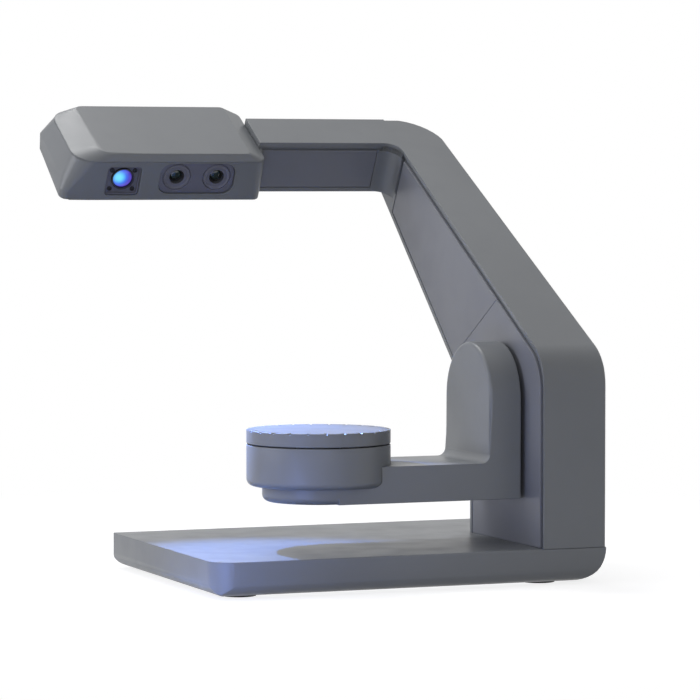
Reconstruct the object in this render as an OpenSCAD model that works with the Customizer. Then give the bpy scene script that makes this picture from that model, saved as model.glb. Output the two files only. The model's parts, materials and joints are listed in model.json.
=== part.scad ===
// Desktop structured-light scanner: a head on a leaning arm looks down at a turntable,
// which spins on a swinging arm that tilts about the column.
// Lengths are millimetres. X runs along the base, Y from front to back, Z up.

/* [Base] */
// Length of the base
base_l = 265; // [255:1:290]
// Depth of the base
base_d = 204; // [195:1:230]
// Height of the base above its feet
base_h = 21.5; // [20:0.5:26]
// Radius of the base's front left corner
base_corner_r = 16; // [12:1:20]
// Radius of the base's back corners
base_back_r = 3; // [2:0.5:6]
// Radius of the base's lower edge
base_edge_r = 9; // [7:0.5:10]
// Radius of the lower edge under the column
heel_r = 22; // [20:1:24]
// Wall of the base cover
base_wall = 3; // [2.5:0.5:3.5]
// Thickness of the steel ballast plate
ballast_t = 4; // [3:0.5:5]
// Height of the feet under the base
foot_h = 1.7; // [1:0.1:3]
// Radius of the feet
foot_r = 11; // [8:0.5:13]

/* [Column and arm] */
// Width of the column, left to right
column_w = 44; // [42:1:50]
// Depth of the column, front to back
column_d = 116; // [110:1:130]
// Height above the base where the column's front starts to lean back
bend_h = 120.5; // [112:0.5:130]
// Radius of that bend
bend_r = 30; // [15:1:40]
// Slope of the limb and arm above the horizontal, degrees
incline = 30; // [27:0.5:33]
// Length up the slope to the arm's outer edge
slope_l = 312; // [300:1:330]
// Width of the arm along the slope
arm_w = 34; // [32:1:40]
// Depth of the arm square to the slope
arm_depth = 38.5; // [36:0.5:42]
// Angle between the limb's top and its underside, degrees
limb_wedge = 12; // [9:0.5:13]
// How far the limb narrows from the bend to the arm
limb_taper = 9; // [4:0.5:10]
// Radius of the outer corner between limb and arm
elbow_r = 34; // [28:1:38]
// Radius of the inner corner between limb and arm
nook_r = 11; // [9:0.5:13]
// Wall of the frame shell
shell_wall = 3; // [2.5:0.5:3.5]
// Distance from the frame's front edge to the inner panels
groove_w = 6.2; // [5.5:0.1:7]
// Depth of the slanted groove beside the inner panels
groove_depth = 2.2; // [1.5:0.1:2.4]
// Width of the rim outside that groove
rim_w = 1; // [0.6:0.1:1.6]
// Set-back of the panels' faces behind the rim
face_inset = 0.3; // [0.2:0.1:0.6]
// Thickness of the inner panels
panel_t = 4; // [3.6:0.1:4.3]

/* [Head] */
// Length of the head along the base's length
head_l = 143; // [138:1:150]
// How far the head reaches past the base's left end
head_reach = 24; // [18:1:30]
// Width of the head along the slope
head_w = 70; // [66:1:76]
// Depth of the head at its lens face
head_depth = 34.5; // [33:0.5:38]
// Depth of the head at its back
head_back_depth = 28; // [27:0.5:30]
// Height of the bevel along the head's lower back edge
back_bevel = 7; // [4:0.5:9]
// Run of that bevel along the slope
back_run = 14; // [11:0.5:15]
// Depth of the head's top cover at its rim
cover_rim = 5.5; // [5:0.1:5.8]
// Distance from the head's left end to the cover's flat top
bevel_left = 24; // [21:1:26]
// Run of the cover's right bevel
bevel_right = 12; // [8:1:14]
// Run of the cover's bevel over the lenses
bevel_near = 2.4; // [2:0.1:3.5]
// Run of the cover's bevel at the back
bevel_far = 1.8; // [1.2:0.1:3]
// How far the head's left end leans in from its widest to the rim
cap_lean = 7; // [4:0.5:9]
// Radius of the head's left corners at the rim
head_left_r = 15; // [12:1:18]
// Radius of the head's left corners at the bottom
head_foot_r = 5; // [4:0.5:7]
// Radius of the head's right corners
head_right_r = 8; // [5:0.5:10]
// Wall of the head's shells
head_wall = 3; // [2.5:0.5:3.5]

/* [Optics] */
// Distance from the head's left end to the projector's axis
projector_x = 42.5; // [40:0.5:44]
// Side of the square projector bezel
projector_side = 24; // [22:0.5:26]
// Radius of the projector lens
projector_lens_r = 6; // [4.5:0.25:6.5]
// Distance from the head's left end to the first camera's axis
camera_x = 80.5; // [80:0.5:82]
// Distance between the two cameras
camera_pitch = 28.5; // [27:0.5:30]
// Radius of the camera rings
camera_r = 9.6; // [8.5:0.1:10]
// Depth of the projector's axis below the head's top
axis_depth = 19; // [18.5:0.25:19.5]
// How far the cameras sit above the projector's axis
camera_lift = 1.7; // [1.2:0.1:2]

/* [Swing arm] */
// Distance of the tilt axis from the base's front
tilt_y = 65; // [60:1:70]
// Height of the tilt axis above the base
tilt_h = 93.5; // [88:0.5:98]
// Distance from the column to the turntable's axis
table_reach = 128; // [120:1:135]
// Width of the swing arm
swing_w = 72; // [68:1:76]
// Thickness of the swing arm's arch
arch_t = 21.5; // [20:0.5:24]
// Gap between the arch and the column
arch_gap = 3; // [2:0.25:4]
// Distance from the tilt axis down to the arm's underside
arm_drop = 63.5; // [60:0.5:66]
// Height of the swing arm
swing_h = 23.3; // [20:0.5:25]
// Wall of the swing arm's shell
swing_wall = 3; // [2.5:0.5:3.5]
// Radius of the end pad's lower edge, and its wall there
pad_edge_r = 4.5; // [3.5:0.5:5.5]
// Radius of the shaft that carries the swing arm
tilt_shaft_r = 6; // [5:0.5:6.5]

/* [Turntable] */
// Radius of the turntable and its drum
table_r = 46; // [44:1:50]
// Thickness of the turntable
table_t = 8.6; // [7:0.2:11]
// Running gap under the turntable
table_gap = 0.8; // [0.6:0.1:1.5]
// Height of the drum under the turntable
drum_h = 26.3; // [26:0.1:28]
// Height of the arm's end pad under the drum
pad_h = 10; // [9:0.5:11]
// Radius of the drum's lower edge
drum_edge_r = 4.5; // [2.5:0.5:5]
// Wall of the drum
drum_wall = 3; // [2.5:0.5:3.5]
// Number of locating notches in the turntable's rim
notches = 24; // [8:1:30]
// Length of those notches
notch_l = 5; // [4:0.5:9]
// Radius of the turntable's spindle
spindle_r = 5; // [4:0.5:5.5]

/* [Gears] */
// Module of the tilt gears
tilt_module = 1; // [0.9:0.05:1.05]
// Module of the turntable gears
table_module = 0.8; // [0.7:0.05:0.85]
// Teeth of each driven gear
gear_teeth = 40; // [38:1:42]
// Teeth of each pinion
pinion_teeth = 16; // [15:1:17]

/* [Rear panel] */
// Radius of the power button
button_r = 5.5; // [4.5:0.25:6]
// Travel of the power button
button_travel = 1.5; // [1:0.1:2]
// Radius of the power socket's bore
jack_r = 2.8; // [2.5:0.1:3.2]

/* [Hidden] */
$fn = 64;
running = 0.06;
seat = 0.15;
loose = 0.3;
base_top = foot_h + base_h;
x_in = base_l - column_w;
slope_z = base_top + bend_h;
arm_s0 = slope_l - arm_w;
arm_mid = slope_l - arm_w / 2;
head_s0 = arm_mid - head_w / 2;
head_s1 = arm_mid + head_w / 2;
head_x0 = -head_reach;
head_x1 = head_l - head_reach;
lens_x = head_x0 + projector_x;
eye_xs = [head_x0 + camera_x, head_x0 + camera_x + camera_pitch];
panel_mid_x = (eye_xs[0] + eye_xs[1]) / 2;
panel_l = camera_pitch + 2 * camera_r + 6;
panel_w = 2 * camera_r + 4.3;
panel_r = 8;
eye_depth = axis_depth - camera_lift;
panel_depth = eye_depth + 0.85;
camera_body_w = 20;
camera_body_l = 26;
projector_w = 24;
projector_l = 33;
// Base stations
ballast_edge = base_edge_r + base_wall + seat;
ballast_l = base_l - heel_r - base_wall;
foot_edge = base_edge_r + base_wall + 1 + foot_r;
foot_z = foot_h + ballast_t;
boss_r = 4;
tilt_z = base_top + tilt_h;
arm_z = tilt_z - arm_drop;
drum_z = arm_z + pad_h;
drum_top = drum_z + drum_h;
table_z = drum_top + table_gap;
table_x = x_in - table_reach;
arch_x1 = x_in - arch_gap;
arch_x0 = arch_x1 - arch_t;
// Stations across the column, from its open side to its outer wall
panel_end = x_in + face_inset + panel_t;
spine_x = panel_end + 4.2;
spine_t = 6;
spine_end = slope_l - shell_wall - 6;
tilt_gear_x = spine_x + spine_t + 2;
tilt_gear_t = 6;
gearbox_x = tilt_gear_x + tilt_gear_t + 1.5;
gearbox_t = 4;
motor_side = 28;
motor_l = 11;
tilt_centres = tilt_module * (gear_teeth + pinion_teeth) / 2;
bearing_r = tilt_shaft_r + 5;
tail_r = tilt_shaft_r - 1;
tail_bearing_r = tail_r + 4;
pinion_shaft_r = 2.5;
// Heights inside the drum
floor_z = drum_z + drum_wall;
table_centres = table_module * (gear_teeth * 1.5 + pinion_teeth) / 2;
table_motor_r = 10.5;
table_motor_h = 11.5;
table_gear_z = floor_z + table_motor_h + 1.2;
table_gear_t = 4.5;
drum_cover_t = 2;
drum_cover_z = table_gear_z + table_gear_t + 0.6;
hub_z = drum_cover_z + drum_cover_t + 0.5;
hub_r = 14;
table_bearing_r = spindle_r + 4;
// Middle of the whole part, seen from above
far_y = head_s1 * cos(incline) + (head_back_depth - back_bevel) * sin(incline);
mid_x = (head_x0 + base_l) / 2;
mid_y = far_y / 2;

// Points of an arc that rounds the corner b of the outline a, b, c
function unit(v) = v / norm(v);
function corner_arc(a, b, c, r, steps) =
    r <= 0 ? [b] :
    let (u = unit(a - b), v = unit(c - b), half = acos(u * v) / 2)
    let (centre = b + unit(u + v) * r / sin(half))
    let (start = b + u * r / tan(half), end = b + v * r / tan(half))
    let (from = atan2(start.y - centre.y, start.x - centre.x))
    let (turn = (atan2(end.y - centre.y, end.x - centre.x) - from + 540) % 360 - 180)
    [for (i = [0 : steps]) let (a = from + turn * i / steps) centre + r * [cos(a), sin(a)]];
function before(points, i) = points[(i + len(points) - 1) % len(points)];
function after(points, i) = points[(i + 1) % len(points)];
function rounded(points, radii, steps = 8) = [for (i = [0 : len(points) - 1])
    each corner_arc(before(points, i), points[i], after(points, i), radii[i], steps)];
// The outline drawn in by d; its points run anticlockwise
function left_of(v) = unit([-v.y, v.x]);
function drawn_in(points, d) = [for (i = [0 : len(points) - 1])
    let (in = left_of(points[i] - before(points, i)), out = left_of(after(points, i) - points[i]))
    points[i] + (in + out) * d / (1 + in * out)];
function box_points(x0, y0, x1, y1) = [[x0, y0], [x1, y0], [x1, y1], [x0, y1]];

// Involute teeth: the half angle of a tooth at radius r
pressure = 20;
function involute(a) = tan(a) * 180 / PI - a;
function tooth_half(teeth, m, r) =
    let (base_r = teeth * m / 2 * cos(pressure))
    90 / teeth + involute(pressure) - involute(r > base_r ? acos(base_r / r) : 0) - 0.06 / r * 180 / PI;
function gear_outline(teeth, m) =
    let (pitch_r = teeth * m / 2, root = pitch_r - 1.25 * m, tip = pitch_r + 0.9 * m)
    let (steps = [root, pitch_r - 0.45 * m, pitch_r, pitch_r + 0.45 * m, tip])
    [for (i = [0 : teeth - 1]) each concat(
        [for (r = steps) tooth_point(i * 360 / teeth - tooth_half(teeth, m, r), r)],
        [for (k = [4 : -1 : 0]) tooth_point(i * 360 / teeth + tooth_half(teeth, m, steps[k]), steps[k])])];
function tooth_point(a, r) = r * [cos(a), sin(a)];

// Places pieces drawn in the base's own corner frame
module placed() {
    translate([-mid_x, -mid_y, 0]) children();
}
// The leaning frame: x along the arm, y up the slope, z out of it
module on_slope() {
    placed() translate([0, 0, slope_z]) rotate([incline, 0, 0]) children();
}
// An outline of front-to-back and height, drawn out along X
module side_prism(points, x0, x1) {
    translate([x0, 0, 0]) rotate([90, 0, 90]) linear_extrude(x1 - x0) polygon(points);
}
// An outline of length and height, drawn out along Y
module front_prism(points, y0, y1) {
    translate([0, y1, 0]) rotate([90, 0, 0]) linear_extrude(y1 - y0) polygon(points);
}
module plan_prism(points, z0, z1) {
    translate([0, 0, z0]) linear_extrude(z1 - z0) polygon(points);
}
module rod(p, r, x0, x1) {
    translate([x0, p.x, p.y]) rotate([0, 90, 0]) cylinder(r = r, h = x1 - x0);
}
module post(x, y, r, z0, z1) {
    translate([x, y, z0]) cylinder(r = r, h = z1 - z0);
}
// A pan-head screw along Z with its head's underside at the origin and its thread downwards
module screw(r, l) {
    translate([0, 0, -l]) cylinder(r = r, h = l);
    difference() {
        cylinder(r = 1.9 * r, h = 1.2 * r);
        translate([0, 0, 0.5 * r]) cylinder(r = 0.8 * r, h = r, $fn = 6);
    }
}

// Base
foot_places = [for (x = [foot_edge, ballast_l - foot_r - 1], y = [foot_edge, base_d - foot_edge]) [x, y]];
boss_edge = 36;
boss_xs = [boss_edge + 16, base_l - boss_edge - 30];
boss_places = [for (x = boss_xs, y = [boss_edge, base_d - boss_edge]) [x, y]];
// The base stays square where the column stands on it
function base_plan(d) = rounded(box_points(d, d, base_l - d, base_d - d),
    [base_corner_r - d, 0, base_back_r - d, base_back_r - d], 8);
module base_outer() {
    side = rounded(box_points(0, foot_h, base_d, base_top), [base_edge_r, base_edge_r, 1, 1], 10);
    front = rounded(box_points(0, foot_h, base_l, base_top + 1), [base_edge_r, heel_r - 1, 0, 0], 10);
    intersection() {
        plan_prism(base_plan(0), foot_h, base_top);
        side_prism(side, 0, base_l);
        front_prism(front, 0, base_d);
    }
}
module base_cover() color([0.42, 0.43, 0.45]) placed() {
    base_tray();
    bosses();
}
module base_tray() difference() {
    tray_edge = ballast_edge - seat;
    base_outer();
    plan_prism(box_points(tray_edge, tray_edge, ballast_l + seat, base_d - tray_edge),
        0, foot_h + base_edge_r);
    difference() {
        intersection() {
            plan_prism(base_plan(base_wall), foot_h + base_edge_r - 1, base_top - base_wall);
            plan_prism(box_points(0, 0, ballast_l + seat, base_d), 0, base_top);
        }
        for (p = boss_places) post(p.x, p.y, boss_r, foot_h, base_top);
    }
    for (p = boss_places) post(p.x, p.y, 1.3, 0, base_top - base_wall);
    // Way through for the spine
    plan_prism(box_points(spine_x - 3, 8, ballast_l - 1, column_d - 8),
        base_top - base_wall - 1, base_top + 1);
}
module bosses() {
    for (p = boss_places) difference() {
        post(p.x, p.y, boss_r, foot_z, base_top - base_wall);
        post(p.x, p.y, 1.3, 0, base_top - base_wall + 1);
    }
}
module ballast_plate() color([0.55, 0.56, 0.58]) placed() difference() {
    outline = box_points(ballast_edge, ballast_edge, ballast_l, base_d - ballast_edge);
    plan_prism(rounded(outline, [4, 4, 4, 4]), foot_h, foot_h + ballast_t);
    for (p = foot_places) post(p.x, p.y, foot_r + seat, 0, foot_h + 1);
    for (p = boss_places) post(p.x, p.y, 1.6, 0, base_h);
    for (p = boss_places) post(p.x, p.y, 3.2, 0, foot_h + 1.9);
    for (p = bolt_places) post(p.x, p.y, 2.2, 0, base_h);
    for (p = bolt_places) post(p.x, p.y, 4.1, 0, foot_h + 2.5);
}
module feet() color([0.1, 0.1, 0.11]) placed() for (p = foot_places) {
    post(p.x, p.y, foot_r, 0, foot_h + 1);
}
module base_screws() color([0.3, 0.3, 0.32]) placed() for (p = boss_places) {
    translate([p.x, p.y, foot_h + 1.9]) mirror([0, 0, 1]) screw(1.25, 9);
}

// Frame: the column, the limb that leans back and the arm across to the head
function up_slope(s, depth) =
    [s * cos(incline) + depth * sin(incline), slope_z + s * sin(incline) - depth * cos(incline)];
top_end = up_slope(slope_l, 0);
under_end = up_slope(slope_l, arm_depth + 1.5);
under_z = under_end.y - (under_end.x - column_d) * tan(incline + limb_wedge);
// The frame's side outline, drawn in by d; its foot stays at lift above the base
function frame_side(d, lift) = rounded(drawn_in([[0, base_top - d + lift], [column_d, base_top - d + lift],
    [column_d, under_z], under_end, top_end, [0, slope_z]], d), [0, 0, 25, 3, 2, bend_r]);
function limb_outline(d) = rounded([[x_in - 1, -140], [base_l - d, -140], [base_l - d, 0],
    [base_l - limb_taper - d, slope_l - d], [x_in - 1, slope_l - d]], [0, 0, 0, elbow_r - d, 0], 10);
// Everything of the column and limb between two stations up the slope
module slope_part(s0, s1) {
    leaned() plan_prism(box_points(x_in - 5, s0, base_l, s1), -260, 60);
}
module leaned() {
    translate([0, 0, slope_z]) rotate([incline, 0, 0]) children();
}
module limb_solid(d, x0) {
    intersection() {
        side_prism(frame_side(d, 0), x0, base_l - d);
        leaned() plan_prism(limb_outline(d), -260, 60);
    }
}
module arm_solid() {
    leaned() plan_prism(concat(
        [[head_x1, slope_l], [head_x1, arm_s0], [x_in - nook_r, arm_s0]],
        [for (a = [80 : -10 : 0]) [x_in - nook_r + nook_r * cos(a), arm_s0 - nook_r + nook_r * sin(a)]],
        [[x_in + 1, arm_s0 - nook_r], [x_in + 1, slope_l]]), -arm_depth, 0);
}
// Where the inner panels end, up the slope and along the arm
panel_s1 = arm_s0 - nook_r - shell_wall;
panel_x1 = x_in - nook_r - shell_wall;
arm_open = arm_s0 + face_inset + panel_t;
module frame_shell() color([0.44, 0.45, 0.47]) placed() difference() {
    union() {
        limb_solid(0, x_in);
        arm_solid();
    }
    limb_solid(shell_wall, panel_end);
    panel_solid(0, x_in - 2, panel_end + 1);
    limb_groove();
    leaned() {
        // The arm's opening to the scanning side, its hollow and the way into the limb
        plan_prism(box_points(head_x1 + shell_wall, arm_s0 - 2, panel_x1, arm_open + 1),
            -arm_depth + shell_wall, -groove_w);
        plan_prism(box_points(head_x1 + shell_wall, arm_open, x_in + 10, slope_l - shell_wall),
            -arm_depth + shell_wall, -shell_wall);
        plan_prism(box_points(head_x1 - 1, arm_s0 + 5, head_x1 + 10, slope_l - 5), -arm_depth + 6, -5);
        arm_groove();
        corner_groove();
    }
    // Base opening and the rear window for the sockets
    plan_prism(box_points(panel_end, shell_wall, base_l - shell_wall, column_d - shell_wall),
        base_top - 1, base_top + 8);
    plan_prism(port_outline(-seat, -1), port_z0 - seat, port_z1 + seat);
}
// The groove slants in from the rim and ends in a narrow floor at the panel
groove_slant = groove_w - 0.6;
bend_drop = (1 - sin(incline)) / cos(incline);
function front_strip(k) = rounded([[k, base_top - 1], [20, base_top - 1], up_slope(slope_l, 20),
    up_slope(slope_l, k), [k, slope_z - k * bend_drop]], [0, 0, 0, 0, bend_r - k]);
module limb_groove() {
    intersection() {
        hull() {
            side_prism(front_strip(rim_w), x_in - 0.01, x_in);
            side_prism(front_strip(groove_slant), x_in, x_in + groove_depth);
        }
        slope_part(-150, arm_s0 - nook_r);
    }
}
module arm_groove() {
    hull() {
        plan_prism(box_points(head_x1, arm_s0 - 0.01, x_in - nook_r, arm_s0), -groove_w, -rim_w);
        plan_prism(box_points(head_x1, arm_s0, x_in - nook_r, arm_s0 + groove_depth),
            -groove_w, -groove_slant);
    }
}
module corner_groove() {
    translate([x_in - nook_r, arm_s0 - nook_r, 0]) rotate_extrude() polygon([[nook_r - 0.01, -groove_w],
        [nook_r + groove_depth, -groove_w], [nook_r + groove_depth, -groove_slant], [nook_r - 0.01, -rim_w]]);
}
// The panel's outline, further in at the front, where the groove runs
module panel_solid(d, x0, x1) {
    inward = groove_w - shell_wall;
    intersection() {
        side_prism(frame_side(shell_wall + d, seat), x0, x1);
        translate([0, inward, -inward * bend_drop]) side_prism(frame_side(shell_wall + d, seat), x0, x1);
        slope_part(-150, panel_s1 - d);
    }
}
seam_at = up_slope(81.5, 5);
module seam_half(up) {
    shift = up ? seat / 2 : -seat / 2;
    far = up ? 400 : -400;
    translate([0, seam_at.x, seam_at.y + shift]) rotate([-incline, 0, 0])
        translate([0, -400, min(far, 0)]) cube([base_l, 800, 400]);
}
module inner_panel_lower() color([0.47, 0.48, 0.51]) placed() difference() {
    intersection() {
        panel_solid(seat, x_in + face_inset, panel_end);
        seam_half(false);
    }
    rod([tilt_y, tilt_z], tilt_shaft_r + 2, x_in, x_in + 10);
}
module inner_panel_upper() color([0.47, 0.48, 0.51]) placed() intersection() {
    panel_solid(seat, x_in + face_inset, panel_end);
    seam_half(true);
}
module arm_panel() color([0.44, 0.45, 0.47]) on_slope() {
    plan_prism(box_points(head_x1 + shell_wall + seat, arm_s0 + face_inset, panel_x1 - seat, arm_open),
        -arm_depth + shell_wall + seat, -groove_w - seat);
}

// Spine: the metal structure inside the frame
bolt_places = [for (y = [foot_edge + foot_r + 8, column_d - 20]) [spine_x - 12, y]];
link_places = [for (z = [8, 20], y = [26, column_d - 20]) [y, base_top + z]];
foot_plate_t = 3;
foot_plate_y = 14;
spine_gap = 3.5;
module spine_plate() color([0.72, 0.73, 0.74]) placed() difference() {
    intersection() {
        side_prism(frame_side(shell_wall + spine_gap, spine_gap), spine_x, spine_x + spine_t);
        slope_part(-150, spine_end);
    }
    rod([tilt_y, tilt_z], bearing_r, spine_x - 1, spine_x + spine_t + 1);
    for (p = bracket_places) rod(p, 1.6, spine_x - 1, spine_x + spine_t + 1);
    for (p = link_places) rod(p, 2.1, spine_x - 1, spine_x + spine_t + 1);
}
module spine_foot() color([0.66, 0.67, 0.69]) placed() difference() {
    union() {
        translate([spine_x + spine_t, foot_plate_y, foot_z])
            cube([foot_plate_t, column_d - 2 * foot_plate_y, base_top + 26 - foot_z]);
        translate([spine_x - 20, foot_plate_y, foot_z])
            cube([20 + spine_t + foot_plate_t, column_d - 2 * foot_plate_y, 4]);
    }
    for (p = bolt_places) post(p.x, p.y, 1.75, foot_h, foot_z + 10);
    for (p = link_places) rod(p, 1.75, spine_x, spine_x + spine_t + 4);
}
// A square tube under the bench, from the second camera to the spine
bar_w = 20;
bar_h = 16;
bar_wall = 3;
bar_x0 = eye_xs[1] + camera_body_w / 2;
module spine_bar() color([0.7, 0.71, 0.72]) on_slope() difference() {
    plan_prism(box_points(bar_x0, arm_mid - bar_w / 2, spine_x, arm_mid + bar_w / 2),
        -bench_depth - bar_h, -bench_depth);
    bore = bar_w / 2 - bar_wall;
    plan_prism(box_points(bar_x0 - 1, arm_mid - bore, spine_x - 8, arm_mid + bore),
        -bench_depth - bar_h + bar_wall, -bench_depth - bar_wall);
}
module spine_bolts() color([0.25, 0.25, 0.27]) placed() {
    for (p = bolt_places) translate([p.x, p.y, foot_h + 2.5]) mirror([0, 0, 1]) screw(1.7, ballast_t + 1);
    for (p = link_places)
        translate([spine_x, p.x, p.y]) rotate([0, -90, 0]) screw(1.7, spine_t + 2.5);
}

// Tilt drive inside the column
pinion_at = [tilt_y, tilt_z - tilt_centres];
bracket_places = [[tilt_y - 27, tilt_z + 12], [tilt_y + 27, tilt_z + 12],
    [tilt_y - 27, pinion_at.y - 14], [tilt_y + 27, pinion_at.y - 14]];
module ring(p, r_in, r_out, x0, x1) {
    difference() {
        rod(p, r_out, x0, x1);
        rod(p, r_in, x0 - 1, x1 + 1);
    }
}
module tilt_bearing_front() color([0.8, 0.8, 0.82]) placed()
    ring([tilt_y, tilt_z], tilt_shaft_r + running, bearing_r, spine_x, spine_x + spine_t);
module tilt_bearing_rear() color([0.8, 0.8, 0.82]) placed()
    ring([tilt_y, tilt_z], tail_r + running, tail_bearing_r, gearbox_x, gearbox_x + gearbox_t);
module gearbox_plate() color([0.68, 0.69, 0.71]) placed() difference() {
    union() {
        side_prism(rounded(box_points(tilt_y - 33, pinion_at.y - 20, tilt_y + 33, tilt_z + 18), [5, 5, 5, 5]),
            gearbox_x, gearbox_x + gearbox_t);
        for (p = bracket_places) rod(p, 4, spine_x + spine_t, gearbox_x);
    }
    rod([tilt_y, tilt_z], tail_bearing_r, gearbox_x - 1, gearbox_x + 10);
    rod(pinion_at, pinion_shaft_r + 2, gearbox_x - 1, gearbox_x + 10);
    for (p = bracket_places) rod(p, 1.3, spine_x, gearbox_x + 10);
}
module tilt_motor() color([0.16, 0.16, 0.17]) placed() difference() {
    translate([gearbox_x + gearbox_t, pinion_at.x - motor_side / 2, pinion_at.y - motor_side / 2])
        cube([motor_l, motor_side, motor_side]);
    rod(pinion_at, pinion_shaft_r + running, gearbox_x, gearbox_x + gearbox_t + motor_l - 2);
}
module tilt_pinion() color([0.75, 0.66, 0.38]) placed() {
    translate([tilt_gear_x, pinion_at.x, pinion_at.y]) rotate([90, 0, 90]) rotate(pinion_turn)
        linear_extrude(tilt_gear_t) polygon(gear_outline(pinion_teeth, tilt_module));
    rod(pinion_at, pinion_shaft_r, tilt_gear_x + 1, gearbox_x + gearbox_t + motor_l - 3);
}
// The pinion's gap faces the driven gear's tooth at rest
pinion_turn = 90 + 180 / pinion_teeth;
gear_turn = -90;
module tilt_gear() color([0.78, 0.69, 0.42]) placed() difference() {
    translate([tilt_gear_x, tilt_y, tilt_z]) rotate([90, 0, 90]) rotate(gear_turn)
        linear_extrude(tilt_gear_t) polygon(gear_outline(gear_teeth, tilt_module));
    rod([tilt_y, tilt_z], tilt_shaft_r, tilt_gear_x - 1, tilt_gear_x + tilt_gear_t + 1);
}
module tilt_shaft() color([0.82, 0.82, 0.84]) placed() {
    difference() {
        rod([tilt_y, tilt_z], hub_flange_r, hub_x, hub_x + hub_flange_t);
        for (p = hub_screw_places) rod(p, 1.3, hub_x - 1, hub_x + 5);
    }
    rod([tilt_y, tilt_z], tilt_shaft_r, hub_x + 1, tilt_gear_x + tilt_gear_t);
    rod([tilt_y, tilt_z], tail_r, tilt_gear_x + tilt_gear_t, gearbox_x + gearbox_t);
}

// Electronics and the rear panel
port_z0 = base_top + 3;
port_z1 = port_z0 + 46;
board_x = spine_x + spine_t + foot_plate_t + 2;
board_t = 1.6;
board_face = board_x + board_t;
port_mid_x = board_face + 7.4;
function port_outline(d, back) =
    box_points(port_mid_x - 11 + d, column_d - shell_wall + back, port_mid_x + 11 - d, column_d + 1);
jack_z = port_z0 + 8;
jack_nose_r = 4.6;
usb_z = port_z0 + 22;
usb_w = 8.6;
usb_h = 8;
usb_case_w = 2 * (port_mid_x - board_face) - 1;
usb_case_h = 12;
button_z = port_z0 + 36;
panel_back = column_d - shell_wall;
module through_panel(z) {
    translate([port_mid_x, panel_back - 10, z]) rotate([-90, 0, 0]) children();
}
module port_panel() color([0.12, 0.12, 0.13]) placed() difference() {
    plan_prism(box_points(port_mid_x - 11, panel_back, port_mid_x + 11, column_d - 0.6), port_z0, port_z1);
    through_panel(jack_z) cylinder(r = jack_nose_r + seat, h = 20);
    translate([board_face - seat, panel_back - 10, usb_z - usb_case_h / 2 - seat])
        cube([usb_case_w + 2 * seat, 20, usb_case_h + 2 * seat]);
    through_panel(button_z) cylinder(r = button_r + loose, h = 20);
}
module power_socket() color([0.08, 0.08, 0.09]) placed() difference() {
    union() {
        translate([board_face, panel_back - 11, jack_z - 5]) cube([usb_case_w, 10.8, 10]);
        through_panel(jack_z) translate([0, 0, 9]) cylinder(r = jack_nose_r, h = 4);
    }
    through_panel(jack_z) translate([0, 0, 2]) cylinder(r = jack_r, h = 20);
}
module data_socket() color([0.75, 0.76, 0.78]) placed() difference() {
    translate([board_face, column_d - 15, usb_z - usb_case_h / 2]) cube([usb_case_w, 15, usb_case_h]);
    translate([port_mid_x - usb_w / 2, column_d - 11, usb_z - usb_h / 2]) cube([usb_w, 20, usb_h]);
}
button_flange_y = column_d - 7;
module power_button() color([0.6, 0.61, 0.63]) placed() {
    translate([port_mid_x, button_flange_y, button_z]) rotate([-90, 0, 0]) {
        cylinder(r = button_r, h = 7 + button_travel);
        cylinder(r = button_r + 1.2, h = 7 - shell_wall - loose);
    }
}
module power_switch() color([0.1, 0.1, 0.11]) placed() {
    switch_y = button_flange_y - button_travel - loose;
    translate([board_face, switch_y - 7, button_z - 6]) cube([12, 7, 12]);
}
module main_board() color([0.08, 0.3, 0.16]) placed() {
    y0 = 12;
    z0 = port_z0 + 1;
    translate([board_x, y0, z0]) cube([board_t, column_d - 4 - y0, button_z + 4 - z0]);
    translate([board_face - 0.01, 20, z0 + 12]) cube([1.4, 14, 14]);
    translate([board_face - 0.01, 44, z0 + 6]) cube([4, 20, 12]);
    translate([board_face - 0.01, 72, z0 + 6]) cube([7, 8, 16]);
}
module board_standoffs() color([0.78, 0.7, 0.4]) placed() for (y = [20, 96]) {
    rod([y, port_z0 + 5], 2.4, spine_x + spine_t + foot_plate_t, board_x);
    rod([y, button_z], 2.4, spine_x + spine_t, board_x);
}

// Head
function head_plan(d, level) = rounded(
    box_points(head_x0 + level[1] + d, head_s0 + d, head_x1 - d, head_s1 - d),
    [level[2] - d, level[4] - d, level[4] - d, level[3] - d]);
// The cross-section of the underside, across the slope and down; it reaches past the head all round
past = 5;
function head_section(d) = drawn_in([[head_s0 - past, past], [head_s0 - past, -under_depth(head_s0 - past)],
    [head_s1 - back_run, -head_back_depth], [head_s1 + back_run, -head_back_depth + 2 * back_bevel],
    [head_s1 + back_run, past]], d);
// Depth of the head's underside at the slope length s
function under_depth(s) =
    head_depth + (head_back_depth - head_depth) * (s - head_s0) / (head_w - back_run);
// The head's outline at three depths: how far its left end leans in, the near and far radius there and
// the radius at the right end
head_levels = [
    [cover_rim, cap_lean, head_left_r, head_left_r, head_right_r],
    [head_back_depth - back_bevel, cap_lean * 0.25, head_foot_r + 5, head_foot_r, head_right_r - 1],
    [head_back_depth, 0, head_foot_r, head_foot_r, head_right_r - 3]];
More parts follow.
